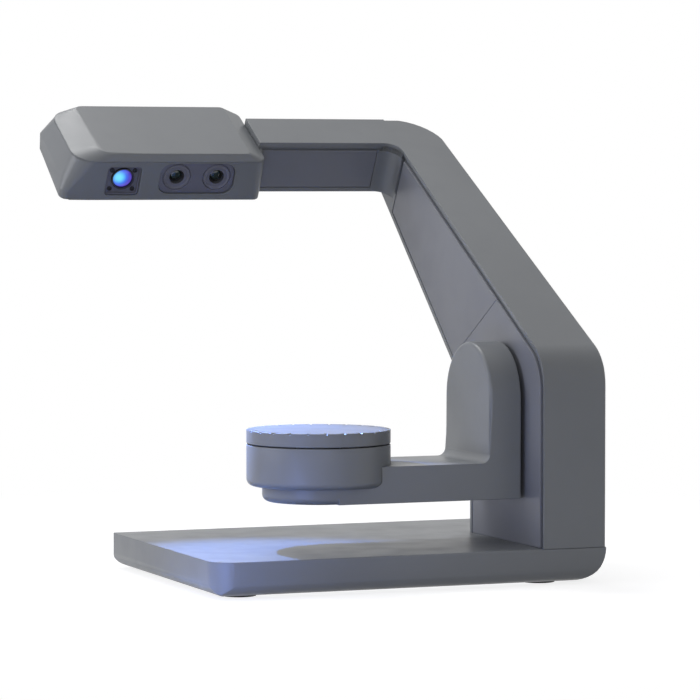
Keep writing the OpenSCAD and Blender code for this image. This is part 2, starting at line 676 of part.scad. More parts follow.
// Thickness of the upper outlines, so that no facet between two of them is a sliver
level_t = 0.5;
bevel_miter = tan((90 - atan(back_bevel / back_run)) / 2);
module head_block(d, top) {
    middle = -head_levels[1][0] + d * bevel_miter;
    hull() {
        plan_prism(head_plan(d, head_levels[0]), -cover_rim - level_t, top);
        plan_prism(head_plan(d, head_levels[1]), middle, middle + level_t);
        // The lowest outline is a block, which the section cuts to the slanted underside
        intersection() {
            plan_prism(head_plan(d, head_levels[2]), -head_depth - 1, -head_back_depth + d);
            side_prism(head_section(d), head_x0 - past, head_x1 + past);
        }
    }
}
module head_shell() color([0.4, 0.41, 0.43]) on_slope() difference() {
    head_block(0, -cover_rim);
    // The hollow is open to the cover
    head_block(head_wall, 1);
    lens_windows();
    bar_half = bar_w / 2 + loose;
    plan_prism(box_points(head_x1 - 20, arm_mid - bar_half, head_x1 + 1, arm_mid + bar_half),
        -bench_depth - bar_h - loose, -1);
    for (p = head_posts) translate([p.x, p.y, -head_depth - 1]) {
        cylinder(r = 1.3, h = 12);
        cylinder(r = 2.3, h = head_depth + 1 - head_seat);
    }
}
module lens_windows() {
    bezel_plate(0, head_s0 - 1);
    eye_plate(0, head_s0 - 1);
}
module bezel_plate(d, s0) {
    half = projector_side / 2 - d;
    front_prism(rounded(box_points(lens_x - half, -axis_depth - half, lens_x + half, -axis_depth + half - 2),
        [3, 3, 3, 3]), s0, head_s0 + head_wall + 1);
}
module eye_plate(d, s0) {
    front_prism(rounded(box_points(panel_mid_x - panel_l / 2 + d, -panel_depth - panel_w / 2 + d,
        panel_mid_x + panel_l / 2 - d, -panel_depth + panel_w / 2 - d),
        [panel_r, panel_r, panel_r, panel_r]), s0, head_s0 + head_wall + 1);
}
// Posts of the cover, and the depth at which their screws seat inside the underside
head_posts = [[head_x0 + 26, head_s1 - back_run - 6], [head_x1 - 42, head_s1 - back_run - 6]];
head_post_r = 3.5;
head_seat = under_depth(head_posts[0].y) - 1.6;
head_post_end = under_depth(head_posts[0].y + head_post_r) - head_wall - loose;
// The cover's flat top, drawn in by d
top_corner_r = 12;
function cover_top(d) = rounded(
    box_points(head_x0 + bevel_left + d, head_s0 + bevel_near + d, head_x1 - bevel_right - d,
        head_s1 - bevel_far - d),
    [top_corner_r - d, 3, 3, 5]);
module head_cover() color([0.46, 0.47, 0.49]) on_slope() {
    difference() {
        hull() {
            plan_prism(head_plan(0, head_levels[0]), -cover_rim, -cover_rim + 0.8);
            plan_prism(cover_top(0), -0.01, 0);
        }
        plan_prism(cover_top(3), -cover_rim - 1, -head_wall + 0.5);
    }
    for (p = head_posts) difference() {
        translate([p.x, p.y, -head_post_end]) cylinder(r = head_post_r, h = head_post_end - head_wall + 1);
        translate([p.x, p.y, -head_post_end - 1]) cylinder(r = 1.05, h = 10);
    }
}
module head_screws() color([0.2, 0.2, 0.21]) on_slope() for (p = head_posts) {
    translate([p.x, p.y, -head_seat]) mirror([0, 0, 1]) screw(1, 7);
}
bench_t = 3;
bench_depth = cover_rim + loose + bench_t;
module optical_bench() color([0.7, 0.71, 0.73]) on_slope() difference() {
    bench_edge = head_wall + 5;
    plan_prism(rounded(box_points(head_x0 + cap_lean + bench_edge, head_s0 + bench_edge,
        head_x1 - bench_edge, head_s1 - bench_edge), [8, 3, 3, 8]), -bench_depth, -bench_depth + bench_t);
    for (p = head_posts) translate([p.x, p.y, -bench_depth - 1]) cylinder(r = head_post_r + 0.5, h = 6);
}
module projector_body() color([0.13, 0.13, 0.14]) on_slope() {
    plan_prism(box_points(lens_x - projector_w / 2, body_s0, lens_x + projector_w / 2, body_s0 + projector_l),
        -axis_depth - 7, -bench_depth);
}
body_s0 = head_s0 + head_wall + 4;
sink_t = 3;
fin_l = 11;
fin_t = 1.5;
fins = 7;
module projector_heat_sink() color([0.62, 0.63, 0.65]) on_slope() {
    sink_s0 = body_s0 + projector_l;
    x0 = lens_x - projector_w / 2;
    plan_prism(box_points(x0, sink_s0, x0 + projector_w, sink_s0 + sink_t), -axis_depth - 6, -bench_depth);
    for (i = [0 : fins - 1]) {
        fin_x = x0 + i * (projector_w - fin_t) / (fins - 1);
        plan_prism(box_points(fin_x, sink_s0 + sink_t, fin_x + fin_t, sink_s0 + sink_t + fin_l),
            -axis_depth - 4, -bench_depth);
    }
}
module along_axis(x, depth) {
    translate([x, head_s0, -depth]) rotate([-90, 0, 0]) children();
}
module projector_bezel() color([0.2, 0.2, 0.24]) on_slope() difference() {
    bezel_plate(seat, head_s0 + 1);
    along_axis(lens_x, axis_depth) translate([0, 0, -1]) cylinder(r = projector_lens_r + 2 + seat, h = 10);
    for (p = bezel_screw_places) along_axis(p.x, p.y) cylinder(r = 1.2, h = 10);
}
bezel_screw_places = [for (dx = [-1, 1], dz = [-1, 1])
    [lens_x + dx * (projector_side / 2 - 3.2), axis_depth + dz * (projector_side / 2 - 4)]];
module bezel_screws() color([0.5, 0.5, 0.55]) on_slope() for (p = bezel_screw_places) {
    along_axis(p.x, p.y) translate([0, 0, 1]) mirror([0, 0, 1]) screw(0.95, 3);
}
module barrel(r_out, r_in, l) {
    difference() {
        cylinder(r = r_out, h = l);
        translate([0, 0, -1]) cylinder(r = r_in, h = l + 2);
    }
}
module projector_barrel() color([0.1, 0.1, 0.12]) on_slope() along_axis(lens_x, axis_depth)
    translate([0, 0, 0.6]) barrel(projector_lens_r + 2, projector_lens_r, head_wall + 3.4);
module projector_lens() color([0.4, 0.85, 1]) on_slope() along_axis(lens_x, axis_depth)
    translate([0, 0, 1.6]) cylinder(r = projector_lens_r, h = 3);
module camera_bezel() color([0.3, 0.31, 0.33]) on_slope() difference() {
    eye_plate(seat, head_s0 + 1);
    for (x = eye_xs) along_axis(x, eye_depth) translate([0, 0, -1]) cylinder(r = camera_r + seat, h = 10);
}
module camera_bodies() color([0.14, 0.14, 0.15]) on_slope() for (x = eye_xs) {
    camera_s0 = head_s0 + head_wall + 5;
    plan_prism(box_points(x - camera_body_w / 2, camera_s0, x + camera_body_w / 2, camera_s0 + camera_body_l),
        -axis_depth - 7.5, -bench_depth);
}
module camera_barrels() color([0.09, 0.09, 0.1]) on_slope() for (x = eye_xs) along_axis(x, eye_depth) {
    translate([0, 0, 0.4]) barrel(camera_r, 5.2, head_wall + 0.6);
    translate([0, 0, head_wall + 1]) barrel(7.5, 5.2, 4);
}
module camera_lenses() color([0.05, 0.06, 0.08]) on_slope() for (x = eye_xs) along_axis(x, eye_depth)
    translate([0, 0, 1.8]) cylinder(r = 5.2, h = 2.5);

// Swing arm
module arch_block(d, x0, x1) {
    rod([tilt_y, tilt_z], swing_w / 2 - d, x0, x1);
    translate([x0, tilt_y - swing_w / 2 + d, arm_z + d]) cube([x1 - x0, swing_w - 2 * d, arm_drop - d]);
}
fillet_r = 5.5;
cover_t = 2.5;
pad_hollow = swing_w / 2 - pad_edge_r;
module swing_shell() color([0.43, 0.44, 0.46]) placed() difference() {
    union() {
        arch_block(0, arch_x0, arch_x1);
        translate([table_x, tilt_y - swing_w / 2, arm_z]) cube([arch_x0 - table_x, swing_w, swing_h]);
        translate([table_x, tilt_y, arm_z]) rotate_extrude() polygon(rounded(
            box_points(0, 0, swing_w / 2, pad_h), [0, pad_edge_r, 0, 0]));
        translate([arch_x0 - fillet_r, tilt_y - swing_w / 2, arm_z + swing_h]) difference() {
            cube([fillet_r, swing_w, fillet_r]);
            translate([0, -1, fillet_r]) rotate([-90, 0, 0]) cylinder(r = fillet_r, h = swing_w + 2);
        }
    }
    // Seat of the drum
    translate([table_x, tilt_y, 0]) rotate_extrude() polygon(drum_profile(seat, tilt_z));
    // Hollows of the arch, the arm and the pad
    arch_block(swing_wall, arch_x0 + swing_wall, arch_x1 + 1);
    translate([table_x + table_r + swing_wall, tilt_y - pad_hollow, arm_z - 1])
        cube([arch_x0 - table_x - table_r + 2, 2 * pad_hollow, swing_h - swing_wall + 1]);
    post(table_x, tilt_y, pad_hollow, arm_z - 1, drum_z - swing_wall);
    translate([table_x, tilt_y - pad_hollow, arm_z - 1])
        cube([table_r + swing_wall + 1, 2 * pad_hollow, pad_h - swing_wall + 1]);
    for (p = drum_screw_places) post(p.x, p.y, 1.8, arm_z, drum_z + 1);
}
module arm_cover() color([0.4, 0.41, 0.43]) placed() difference() {
    d = pad_edge_r + seat;
    union() {
        post(table_x, tilt_y, swing_w / 2 - d, arm_z, arm_z + cover_t);
        translate([table_x, tilt_y - swing_w / 2 + d, arm_z])
            cube([arch_x0 - table_x + 6, swing_w - 2 * d, cover_t]);
    }
    translate([arch_x0 + swing_wall - seat, 0, arm_z - 1]) cube([30, base_d, 10]);
}
module arch_cover() color([0.4, 0.41, 0.43]) placed() difference() {
    arch_block(swing_wall + seat, arch_x1 - cover_t, arch_x1);
    rod([tilt_y, tilt_z], tilt_shaft_r + 2, arch_x0, arch_x1 + 1);
}
hub_x = arch_x0 + swing_wall + loose + 5;
hub_flange_r = tilt_shaft_r + 8;
hub_flange_t = 3.5;
hub_screw_r = tilt_shaft_r + 4.2;
hub_screw_places = [for (a = [45 : 90 : 315]) [tilt_y + hub_screw_r * cos(a), tilt_z + hub_screw_r * sin(a)]];
bracket_t = 2.4;
bracket_z = drum_z - swing_wall - bracket_t;
drum_screw_places = [for (a = [45 : 90 : 315]) [table_x + 24 * cos(a), tilt_y + 24 * sin(a)]];
module swing_bracket() color([0.66, 0.67, 0.69]) placed() difference() {
    union() {
        translate([table_x, tilt_y - 20, bracket_z]) cube([hub_x - table_x, 40, bracket_t]);
        post(table_x, tilt_y, pad_hollow - 1.5, bracket_z, bracket_z + bracket_t);
        translate([hub_x - 5, tilt_y - 20, bracket_z]) cube([5, 40, tilt_z - bracket_z]);
        rod([tilt_y, tilt_z], 20, hub_x - 5, hub_x);
    }
    for (p = hub_screw_places) rod(p, 1.2, hub_x - 6, hub_x + 1);
    for (p = drum_screw_places) post(p.x, p.y, 1.8, arm_z, drum_z);
}
module hub_screws() color([0.3, 0.3, 0.32]) placed() for (p = hub_screw_places) {
    translate([hub_x + hub_flange_t, p.x, p.y]) rotate([0, 90, 0]) screw(1.15, 7.5);
}
module drum_screws() color([0.3, 0.3, 0.32]) placed() for (p = drum_screw_places) {
    translate([p.x, p.y, bracket_z]) mirror([0, 0, 1]) screw(1.2, drum_z + 2.4 - bracket_z);
}

// Drum and turntable
// Half the drum's outline, wider by d, up to the height z1
function drum_profile(d, z1) = rounded([[0, drum_z], [table_r + d, drum_z], [table_r + d, z1], [0, z1]],
    [0, drum_edge_r, 0, 0]);
module drum() color([0.42, 0.43, 0.45]) placed() difference() {
    translate([table_x, tilt_y, 0]) rotate_extrude() polygon(drum_profile(0, drum_top));
    difference() {
        post(table_x, tilt_y, table_r - drum_wall, floor_z, drum_top + 1);
        post(table_x, tilt_y, table_bearing_r + 3, floor_z - 1, table_gear_z - 1);
        // Lugs that carry the drum's cover
        for (a = [30, 150]) translate([table_x, tilt_y, floor_z - 1]) rotate(a)
            translate([table_r - drum_wall - 6, -4, 0]) cube([8, 8, drum_cover_z - floor_z + 1]);
    }
    post(table_x, tilt_y, table_bearing_r, floor_z + 1, drum_top);
    for (p = drum_screw_places) post(p.x, p.y, 1.25, drum_z - 1, drum_z + 2.6);
}
module drum_cover() color([0.2, 0.2, 0.22]) placed() difference() {
    post(table_x, tilt_y, table_r - drum_wall - seat, drum_cover_z, drum_cover_z + drum_cover_t);
    post(table_x, tilt_y, spindle_r + 3, drum_cover_z - 1, drum_cover_z + drum_cover_t + 1);
}
module table_bearing() color([0.8, 0.8, 0.82]) placed() difference() {
    post(table_x, tilt_y, table_bearing_r, floor_z + 1, table_gear_z - 1);
    post(table_x, tilt_y, spindle_r + running, floor_z, table_gear_z);
}
motor_at = [table_x, tilt_y - table_centres];
module table_motor() color([0.15, 0.15, 0.16]) placed() difference() {
    post(motor_at.x, motor_at.y, table_motor_r, floor_z, floor_z + table_motor_h);
    post(motor_at.x, motor_at.y, 1.5 + running, floor_z + 2, floor_z + table_motor_h + 1);
}
module table_pinion() color([0.85, 0.85, 0.82]) placed() {
    translate([motor_at.x, motor_at.y, table_gear_z]) rotate(90 + 180 / pinion_teeth)
        linear_extrude(table_gear_t) polygon(gear_outline(pinion_teeth, table_module));
    post(motor_at.x, motor_at.y, 1.5, floor_z + 3, table_gear_z + 1);
}
module table_gear() color([0.88, 0.88, 0.85]) placed() difference() {
    translate([table_x, tilt_y, table_gear_z]) rotate(-90)
        linear_extrude(table_gear_t) polygon(gear_outline(gear_teeth * 1.5, table_module));
    post(table_x, tilt_y, spindle_r, table_gear_z - 1, table_gear_z + table_gear_t + 1);
}
module table_spindle() color([0.82, 0.82, 0.84]) placed() {
    post(table_x, tilt_y, spindle_r, floor_z + 1.5, hub_z);
    post(table_x, tilt_y, hub_r, hub_z, table_z);
}
module turntable() color([0.45, 0.46, 0.48]) placed() difference() {
    post(table_x, tilt_y, table_r, table_z, table_z + table_t);
    for (i = [0 : notches - 1])
        translate([table_x, tilt_y, table_z + table_t - 0.8]) rotate(i * 360 / notches)
            translate([table_r - notch_l, -0.8, 0]) cube([notch_l + 1, 1.6, 2]);
}

base_cover();
ballast_plate();
feet();
base_screws();
frame_shell();
inner_panel_lower();
inner_panel_upper();
arm_panel();
spine_plate();
spine_foot();
spine_bar();
spine_bolts();
tilt_bearing_front();
tilt_bearing_rear();
gearbox_plate();
tilt_motor();
tilt_pinion();
tilt_shaft();
tilt_gear();
main_board();
board_standoffs();
port_panel();
power_socket();
data_socket();
power_button();
power_switch();
head_cover();
head_shell();
head_screws();
optical_bench();
projector_body();
projector_heat_sink();
projector_bezel();
projector_barrel();
projector_lens();
bezel_screws();
camera_bezel();
camera_bodies();
camera_barrels();
camera_lenses();
swing_shell();
arch_cover();
arm_cover();
swing_bracket();
hub_screws();
drum();
drum_cover();
drum_screws();
table_bearing();
table_motor();
table_pinion();
table_spindle();
table_gear();
turntable();
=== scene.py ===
import json
from math import cos, pi, radians, sin

import bmesh
import bpy
from mathutils import Matrix, Vector


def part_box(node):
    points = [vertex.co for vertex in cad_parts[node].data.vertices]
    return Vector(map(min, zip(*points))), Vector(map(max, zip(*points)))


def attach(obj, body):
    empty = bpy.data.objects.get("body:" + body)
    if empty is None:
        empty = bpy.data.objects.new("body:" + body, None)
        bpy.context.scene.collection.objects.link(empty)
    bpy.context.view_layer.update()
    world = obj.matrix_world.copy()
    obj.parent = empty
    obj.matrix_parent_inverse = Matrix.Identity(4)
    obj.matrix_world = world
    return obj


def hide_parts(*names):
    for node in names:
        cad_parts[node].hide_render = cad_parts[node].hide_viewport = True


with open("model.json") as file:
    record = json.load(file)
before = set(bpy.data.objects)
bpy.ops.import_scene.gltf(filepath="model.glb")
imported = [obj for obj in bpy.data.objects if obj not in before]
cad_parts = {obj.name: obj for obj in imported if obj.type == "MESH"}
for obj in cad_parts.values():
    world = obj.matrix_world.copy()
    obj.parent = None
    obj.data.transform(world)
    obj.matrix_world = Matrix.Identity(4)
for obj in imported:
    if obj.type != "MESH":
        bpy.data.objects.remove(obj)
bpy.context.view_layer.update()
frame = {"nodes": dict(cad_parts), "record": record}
cadNodes = frame["nodes"]
record = frame["record"]
slotOf = {part["node"]: part["material_slot"] for part in record["subparts"]}
bodyOf = {node: body for body, members in record["behaviour"]["bodies"].items() for node in members}
print("frame loaded:", len(cadNodes), "nodes")

# Two frames in millimetres: upright, from under the base's near left corner, and leaning, from the height
# of the column's bend right above that corner
mm = 0.001
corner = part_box("base_cover")[0]
slope = {"angle": 30, "height": 143.7, "lensFace": 260}     # degrees, then millimetres up and along
upright = Matrix.Translation((corner.x, corner.y, 0)) @ Matrix.Scale(mm, 4)
leaning = (Matrix.Translation((corner.x, corner.y, slope["height"] * mm))
           @ Matrix.Rotation(radians(slope["angle"]), 4, "X") @ Matrix.Scale(mm, 4))


# Camera and stage
cameraView = {
    "place": (-0.8349, -2.1560, 0.2581),
    "right": (0.9285, -0.3714, 0.0),
    "up": (0.0181, 0.0454, 0.9988),
    "away": (-0.3709, -0.9274, 0.04885),
    "lens": 180,
    "sensor": 36,
    "clip": (0.05, 100),
}


def makeCamera(view):
    lens = bpy.data.cameras.new("camera")
    lens.lens = view["lens"]
    lens.sensor_width = view["sensor"]
    lens.clip_start, lens.clip_end = view["clip"]
    camera = bpy.data.objects.new("camera", lens)
    bpy.context.scene.collection.objects.link(camera)
    columns = [Vector(view[side]).normalized() for side in ("right", "up", "away")]
    turn = Matrix(columns).transposed().to_4x4()
    camera.matrix_world = Matrix.Translation(view["place"]) @ turn
    bpy.context.scene.camera = camera


makeCamera(cameraView)


class Wire:
    # a shader socket that takes Python's operators
    def __init__(self, look, socket):
        self.look = look
        self.socket = socket

    def maths(self, operation, *values):
        return self.look.add("ShaderNodeMath", {"operation": operation}, dict(enumerate(values)))

    def __add__(self, other):
        return self.maths("ADD", self, other)

    def __sub__(self, other):
        return self.maths("SUBTRACT", self, other)

    def __rsub__(self, other):
        return self.maths("SUBTRACT", other, self)

    def __mul__(self, other):
        return self.maths("MULTIPLY", self, other)

    def __truediv__(self, other):
        return self.maths("DIVIDE", self, other)

    __radd__ = __add__
    __rmul__ = __mul__

    def ramp(self, low, high):
        # 0 below low, 1 above high
        settings = {"interpolation_type": "SMOOTHSTEP"}
        return self.look.add("ShaderNodeMapRange", settings, {0: self, 1: low, 2: high, 3: 0.0, 4: 1.0})


class Look:
    # a node tree of a material, or of the world
    def __init__(self, owner):
        owner.use_nodes = True
        self.owner = owner
        self.tree = owner.node_tree
        self.tree.nodes.clear()

    def add(self, kind, settings=None, inputs=None, output=0):
        node = self.tree.nodes.new(kind)
        for key, value in (settings or {}).items():
            if key == "stops":
                for spot, (place, colour) in zip(rampStops(node.color_ramp, len(value)), value):
                    spot.position = place
                    spot.color = (*colour, 1)
            else:
                setattr(node, key, value)
        for key, value in (inputs or {}).items():
            if isinstance(value, Wire):
                self.tree.links.new(value.socket, node.inputs[key])
            else:
                node.inputs[key].default_value = value
        return Wire(self, node.outputs[output])

    def mix(self, factor, first, second):
        inputs = {0: factor, 6: first, 7: second}
        return self.add("ShaderNodeMix", {"data_type": "RGBA"}, inputs, 2)

    def noise(self, place, scale, detail=2.0):
        return self.add("ShaderNodeTexNoise", None, {"Vector": place, "Scale": scale, "Detail": detail})

    def finish(self, shader, kind="ShaderNodeOutputMaterial"):
        node = self.tree.nodes.new(kind)
        self.tree.links.new(shader.socket, node.inputs["Surface"])
        return self.owner


def rampStops(ramp, count):
    while len(ramp.elements) < count:
        ramp.elements.new(0.5)
    return ramp.elements


def seen(red, green, blue):
    # an 8-bit colour as it is seen, made linear
    parts = [part / 255 for part in (red, green, blue)]
    return (*[part / 12.92 if part <= 0.04045 else ((part + 0.055) / 1.055) ** 2.4 for part in parts], 1.0)


# Studio
studio = {
    "worldLight": 0.14,         # from every side
    "skyLight": 0.20,           # added straight from above
    "leftLight": 0.10,          # added straight from the left
    "floorColour": (0.42, 0.42, 0.425, 1),
    "floorLift": 0.80,          # the floor's own brightness, for the rays that show the backdrop
    "floorFade": (0.24, 0.60),  # metres from the middle over which the floor turns white
    "floorReach": 30,           # metres from the middle to the floor's edges
    # place, target, size, power, colour
    "overhead": ((-0.15, 0.95, 2.0), (0.0, 0.0, 0.15), 0.8, 16, (1.0, 1.0, 1.0)),
    "leftPanel": ((-2.4, 0.3, 1.0), (0.0, 0.0, 0.15), 1.2, 21, (0.94, 0.95, 1.0)),
    "nearPanel": ((-0.6, -2.6, 0.6), (0.0, 0.0, 0.1), 1.6, 8, (0.97, 0.98, 1.0)),
    # the projector's blue light, thrown back from in front of the base
    "blueBounce": ((-0.19, -0.215, 0.022), (-0.10, -0.12, 0.012), 0.08, 0.13, (0.26, 0.38, 1.0)),
}
# the projector's own light
projectorLight = {
    "from": (18.5, 258, -19),   # just in front of the lens, in the leaning frame
    "to": (50, 36, 60),         # in the upright frame
    "power": 9.5,
    "colour": (0.19, 0.36, 1.0),
    "cone": 52,
    "blend": 0.75,
    "size": 0.004,
}


def backdropRays(look):
    # 1 for the rays that show the backdrop: straight from the camera, off gloss and through glass
    rays = [look.add("ShaderNodeLightPath", output=name)
            for name in ("Is Camera Ray", "Is Glossy Ray", "Is Transmission Ray")]
    every = rays[0] + rays[1] + rays[2]
    return every.maths("MINIMUM", every, 1.0)


def makeStudio(values):
    world = bpy.data.worlds.new("studio")
    bpy.context.scene.world = world
    look = Look(world)
    shown = backdropRays(look)
    way = look.add("ShaderNodeTexCoord", output="Generated")
    sides = [look.add("ShaderNodeSeparateXYZ", None, {0: way}, side) for side in ("X", "Z")]
    left = sides[0].maths("MAXIMUM", sides[0] * -1.0, 0.0)
    above = sides[1].maths("MAXIMUM", sides[1], 0.0)
    light = values["worldLight"] + above * values["skyLight"] + left * values["leftLight"]
    strength = shown + (1 - shown) * light
    glow = look.add("ShaderNodeBackground", None, {"Color": (1, 1, 1, 1), "Strength": strength})
    look.finish(glow, "ShaderNodeOutputWorld")

    bm = bmesh.new()
    bmesh.ops.create_grid(bm, x_segments=1, y_segments=1, size=values["floorReach"])
    mesh = bpy.data.meshes.new("floor")
    bm.to_mesh(mesh)
    bm.free()
    floor = bpy.data.objects.new("floor", mesh)
    bpy.context.scene.collection.objects.link(floor)
    look = Look(bpy.data.materials.new("floorPaper"))
    paper = look.add("ShaderNodeBsdfDiffuse", None, {"Color": values["floorColour"]})
    shown = backdropRays(look)
    lift = look.add("ShaderNodeEmission", None, {"Strength": shown * values["floorLift"]})
    lit = look.add("ShaderNodeAddShader", None, {0: paper, 1: lift})
    # far from the object the floor is as white as the backdrop
    place = look.add("ShaderNodeTexCoord", output="Object")
    distance = look.add("ShaderNodeVectorMath", {"operation": "LENGTH"}, {0: place}, "Value")
    far = distance.ramp(*values["floorFade"])
    white = look.add("ShaderNodeEmission", None, {"Strength": 1.0})
    paperAndWhite = look.add("ShaderNodeMixShader", None, {0: far * shown, 1: lit, 2: white})
    mesh.materials.append(look.finish(paperAndWhite))

    for name in ("overhead", "leftPanel", "nearPanel", "blueBounce"):
        place, target, size, power, colour = values[name]
        lamp = bpy.data.lights.new(name, "AREA")
        lamp.size = size
        lamp.energy = power
        lamp.color = colour
        holder = bpy.data.objects.new(name, lamp)
        holder.location = place
        holder.rotation_mode = "QUATERNION"
        holder.rotation_quaternion = (Vector(target) - Vector(place)).to_track_quat("-Z", "Y")
        bpy.context.scene.collection.objects.link(holder)
    bpy.context.scene.view_settings.view_transform = "Standard"


def makeProjectorLight(values):
    lamp = bpy.data.lights.new("projectorLight", "SPOT")
    lamp.energy = values["power"]
    lamp.color = values["colour"]
    lamp.spot_size = radians(values["cone"])
    lamp.spot_blend = values["blend"]
    lamp.shadow_soft_size = values["size"]
    holder = bpy.data.objects.new("projectorLight", lamp)
    start = leaning @ Vector(values["from"])
    holder.location = start
    holder.rotation_mode = "QUATERNION"
    holder.rotation_quaternion = (upright @ Vector(values["to"]) - start).to_track_quat("-Z", "Y")
    bpy.context.scene.collection.objects.link(holder)


makeStudio(studio)
makeProjectorLight(projectorLight)
print("camera and studio made")


# Materials
moulding = {
    "cloudScale": 11, "cloudRamp": (0.3, 0.7), "tones": (0.955, 1.045),     # shares of the colour
    "rubScale": 46, "rubRamp": (0.35, 0.75), "rubGloss": (-0.04, 0.08),     # added to the roughness
    "pitDepth": 0.04 * mm,
    "softEdge": 0.9 * mm,       # radius of the small edges, by shading
}


def plastic(name, colour, roughness, grain=2600, bump=0.25, coat=0.0):
    # moulded plastic: a fine spark-eroded grain, slow clouds in its tone, faint rub marks in its gloss
    look = Look(bpy.data.materials.new(name))
    place = look.add("ShaderNodeTexCoord", output="Object")
    clouds = look.noise(place, moulding["cloudScale"], 3.0)
    rubs = look.noise(place, moulding["rubScale"], 4.0)
    pits = look.noise(place, grain, 2.0)
    dark, pale = [tuple(part * share for part in colour[:3]) + (1,) for share in moulding["tones"]]
    tone = look.mix(clouds.ramp(*moulding["cloudRamp"]), dark, pale)
    least, spread = moulding["rubGloss"]
    gloss = roughness + least + rubs.ramp(*moulding["rubRamp"]) * spread
    # every edge that a mould leaves is a little soft
    soft = look.add("ShaderNodeBevel", {"samples": 4}, {"Radius": moulding["softEdge"]})
    relief = {"Strength": bump, "Distance": moulding["pitDepth"], "Height": pits, "Normal": soft}
    height = look.add("ShaderNodeBump", None, relief)
    inputs = {"Base Color": tone, "Roughness": gloss, "Normal": height, "Coat Weight": coat}
    return look.finish(look.add("ShaderNodeBsdfPrincipled", None, inputs))


machining = {
    "cloudScale": 30, "cloudRamp": (0.3, 0.7), "darker": 0.86,      # share of the colour
    "lineRamp": (0.3, 0.7), "lineGloss": (-0.06, 0.14),             # added to the roughness
    "lineBump": 0.2, "lineDepth": 0.03 * mm,
}


def metal(name, colour, roughness, streak=(6, 6, 900), metallic=1.0):
    # worked metal: tool lines along one way and a slight change of tone
    look = Look(bpy.data.materials.new(name))
    place = look.add("ShaderNodeTexCoord", output="Object")
    lines = look.noise(look.add("ShaderNodeMapping", None, {"Vector": place, "Scale": streak}), 1.0, 3.0)
    clouds = look.noise(place, machining["cloudScale"], 2.0)
    dark = tuple(part * machining["darker"] for part in colour[:3]) + (1,)
    tone = look.mix(clouds.ramp(*machining["cloudRamp"]), dark, colour)
    least, spread = machining["lineGloss"]
    gloss = roughness + least + lines.ramp(*machining["lineRamp"]) * spread
    relief = {"Strength": machining["lineBump"], "Distance": machining["lineDepth"], "Height": lines}
    height = look.add("ShaderNodeBump", None, relief)
    inputs = {"Base Color": tone, "Roughness": gloss, "Metallic": metallic, "Normal": height}
    return look.finish(look.add("ShaderNodeBsdfPrincipled", None, inputs))


# the projector lens's glow, with a painted highlight: the pale cyan heart off the lens's middle stands for
# light caught on the glass
glowAndPaintedHighlight = {
    "paintedHighlightHeart": (-2.4, 0, 1.2),    # millimetres from the lens's middle
    "reach": 7.5,               # millimetres from the heart to the last stop
    "stops": [
        (0.0, (0.42, 1.0, 1.0)),
        (0.4, (0.16, 0.70, 0.95)),
        (0.7, (0.06, 0.16, 0.85)),
        (1.0, (0.08, 0.04, 0.5)),
    ],
    "colour": (0.02, 0.05, 0.1, 1),
    "roughness": 0.08,
}


def lensGlowWithPaintedHighlight(values):
    # the lit projector lens: its own glow, in which a painted highlight, a pale cyan heart off its middle,
    # turns violet towards its rim
    look = Look(bpy.data.materials.new("lensGlowWithPaintedHighlight"))
    place = look.add("ShaderNodeTexCoord", output="Object")
    low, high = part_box("projector_lens")
    paintedHighlightHeart = (low + high) / 2 + Vector(values["paintedHighlightHeart"]) * mm
    offset = look.add("ShaderNodeVectorMath", {"operation": "DISTANCE"}, {0: place, 1: paintedHighlightHeart}, "Value")
    share = offset / (values["reach"] * mm)
    # painted highlight: the emission is palest at the heart and turns violet towards the rim
    glow = look.add("ShaderNodeValToRGB", {"stops": values["stops"]}, {0: share})
    inputs = {"Base Color": values["colour"], "Roughness": values["roughness"],
              "Emission Color": glow, "Emission Strength": 1.0}
    return look.finish(look.add("ShaderNodeBsdfPrincipled", None, inputs))


darkGlass = {
    "filmScale": 90, "filmRamp": (0.35, 0.65),
    "black": (0.008, 0.012, 0.014, 1), "green": (0.012, 0.035, 0.03, 1),
    "roughness": 0.06, "coat": 0.8, "coatRoughness": 0.03,
}


def darkLens(values):
    # a dark lens with a faint green film
    look = Look(bpy.data.materials.new("darkLens"))
    place = look.add("ShaderNodeTexCoord", output="Object")
    film = look.noise(place, values["filmScale"], 1.0)
    tone = look.mix(film.ramp(*values["filmRamp"]), values["black"], values["green"])
    inputs = {"Base Color": tone, "Roughness": values["roughness"],
              "Coat Weight": values["coat"], "Coat Roughness": values["coatRoughness"]}
    return look.finish(look.add("ShaderNodeBsdfPrincipled", None, inputs))


# after the colour: roughness, then for plastic grain, bump and coat, and for metal streaks and metallic
finishes = {
    "cover_grey": plastic("coverGrey", seen(124, 127, 131), 0.42),
    "panel_grey": plastic("panelGrey", seen(124, 126, 134), 0.44),
    "bezel_grey": plastic("bezelGrey", seen(104, 105, 119), 0.5),
    "black_plastic": plastic("blackPlastic", seen(30, 30, 32), 0.42),
    "button_grey": plastic("buttonGrey", seen(178, 180, 184), 0.25, 1500, 0.1, 0.3),
    "gear_plastic": plastic("gearPlastic", seen(226, 226, 220), 0.38, 1500, 0.1),
    "lit_lens": lensGlowWithPaintedHighlight(glowAndPaintedHighlight),
    "dark_lens": darkLens(darkGlass),
    "board_green": plastic("boardGreen", seen(24, 84, 52), 0.3, 700, 0.3, 0.3),
    "rubber": plastic("rubber", seen(26, 26, 27), 0.85, 900, 0.6),
    "steel": metal("groundSteel", seen(178, 180, 184), 0.28),
    "dark_steel": metal("blackOxide", seen(46, 46, 50), 0.42, (8, 8, 8), 0.6),
    "aluminium": metal("milledAluminium", seen(196, 198, 202), 0.34, (500, 6, 6)),
    "brass": metal("machinedBrass", seen(196, 158, 84), 0.3),
}
for name, node in cadNodes.items():
    node.data.materials.clear()
    node.data.materials.append(finishes[slotOf[name]])
print("materials made:", len(finishes))


# Ways to make a piece
joinGap = {"cad": 0.0005, "spun": 0.0001}       # millimetres, under which two points are one
flatAngle = 0.8                                 # degrees, under which two triangles are one face


